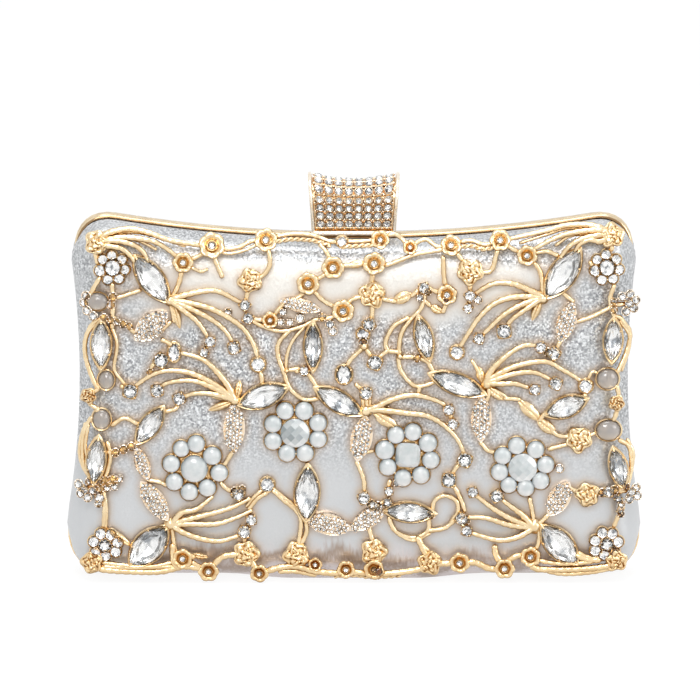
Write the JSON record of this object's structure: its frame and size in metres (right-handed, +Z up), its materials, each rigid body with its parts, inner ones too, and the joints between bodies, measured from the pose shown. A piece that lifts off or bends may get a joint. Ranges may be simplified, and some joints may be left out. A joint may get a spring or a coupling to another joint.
{
  "type": "hard evening clutch bag",
  "caption": "Hard-shell evening clutch with a bottom-hinged metal frame, a sprung rocking clasp and a cast filigree cage set with crystals and cabochon flowers.",
  "frame": {"origin": "centre of the bounding box on the surface that the clutch stands on", "axes": "+X along the width, to the right as seen from the front; +Y from the jewelled front to the plain back; +Z up, from the hinge to the clasp"},
  "size_m": [0.2024, 0.0529, 0.1415],
  "materials": {
    "pale_gold_plate": "polished pale gold plating on cast zinc alloy and on the rolled frame",
    "rose_gold_plate": "polished rose gold plating set with small clear stones",
    "steel": "plain drawn wire and stamped strip",
    "silver_fabric": "metallic silver cloth with a fine glitter, bonded to the shell",
    "grey_lining": "satin lining, glued in",
    "shell_plastic": "moulded, as it leaves the tool",
    "clear_crystal": "faceted and foiled behind",
    "milky_cabochon": "milky cast resin, polished",
    "moonstone": "grey beige cast resin, polished"
  },
  "bodies": {
    "back_half": {"back_cover": "silver_fabric", "back_shell": "shell_plastic", "back_lining": "grey_lining", "back_frame": "pale_gold_plate", "hinge_pin": "steel", "latch_bracket": "steel", "latch_pin": "steel", "latch_spring": "steel", "chain_lug_left": "pale_gold_plate", "chain_lug_right": "pale_gold_plate"},
    "front_half": {"front_cover": "silver_fabric", "front_shell": "shell_plastic", "front_lining": "grey_lining", "front_frame": "pale_gold_plate", "keeper": "pale_gold_plate", "filigree_cage": "pale_gold_plate", "crystal_upper_left": "clear_crystal", "crystal_left_side": "clear_crystal", "crystal_left_middle": "clear_crystal", "crystal_left_low": "clear_crystal", "crystal_foot_left": "clear_crystal", "crystal_inner_left": "clear_crystal", "crystal_centre_top": "clear_crystal", "crystal_centre": "clear_crystal", "crystal_centre_low": "clear_crystal", "crystal_foot_middle": "clear_crystal", "crystal_right_top": "clear_crystal", "crystal_inner_right": "clear_crystal", "crystal_right_middle": "clear_crystal", "crystal_upper_right": "clear_crystal", "crystal_right_side": "clear_crystal", "crystal_right_low": "clear_crystal", "crystal_foot_right": "clear_crystal", "clear_oval_left": "clear_crystal", "brilliant_top": "clear_crystal", "brilliant_inner_left": "clear_crystal", "brilliant_centre": "clear_crystal", "brilliant_centre_top": "clear_crystal", "brilliant_inner_right": "clear_crystal", "brilliant_right": "clear_crystal", "brilliant_low": "clear_crystal", "brilliant_flower_top_left": "clear_crystal", "brilliant_flower_top_right": "clear_crystal", "brilliant_flower_foot_left": "clear_crystal", "brilliant_flower_foot_right": "clear_crystal", "moonstone_upper_left": "moonstone", "moonstone_left": "moonstone", "moonstone_left_low": "moonstone", "moonstone_right": "moonstone", "moonstone_right_low": "moonstone", "pearl_flower_left": "milky_cabochon", "pearl_flower_middle_left": "milky_cabochon", "pearl_flower_middle_right": "milky_cabochon", "pearl_flower_right": "milky_cabochon"},
    "clasp_head": {"clasp_head": "rose_gold_plate", "clasp_stone_mesh": "rose_gold_plate"}
  },
  "joints": [
    {"name": "lid_hinge", "type": "hinge", "parent": "back_half", "child": "front_half", "pos_m": [0, 0.00245, 0.0019], "axis": [1, 0, 0], "range_deg": [0, 75]},
    {"name": "clasp_rock", "type": "hinge", "parent": "back_half", "child": "clasp_head", "pos_m": [0, 0.00445, 0.1231], "axis": [-1, 0, 0], "range_deg": [0, 20], "stiffness_Nm_per_rad": 0.02, "springref_deg": -28.65}
  ]
}
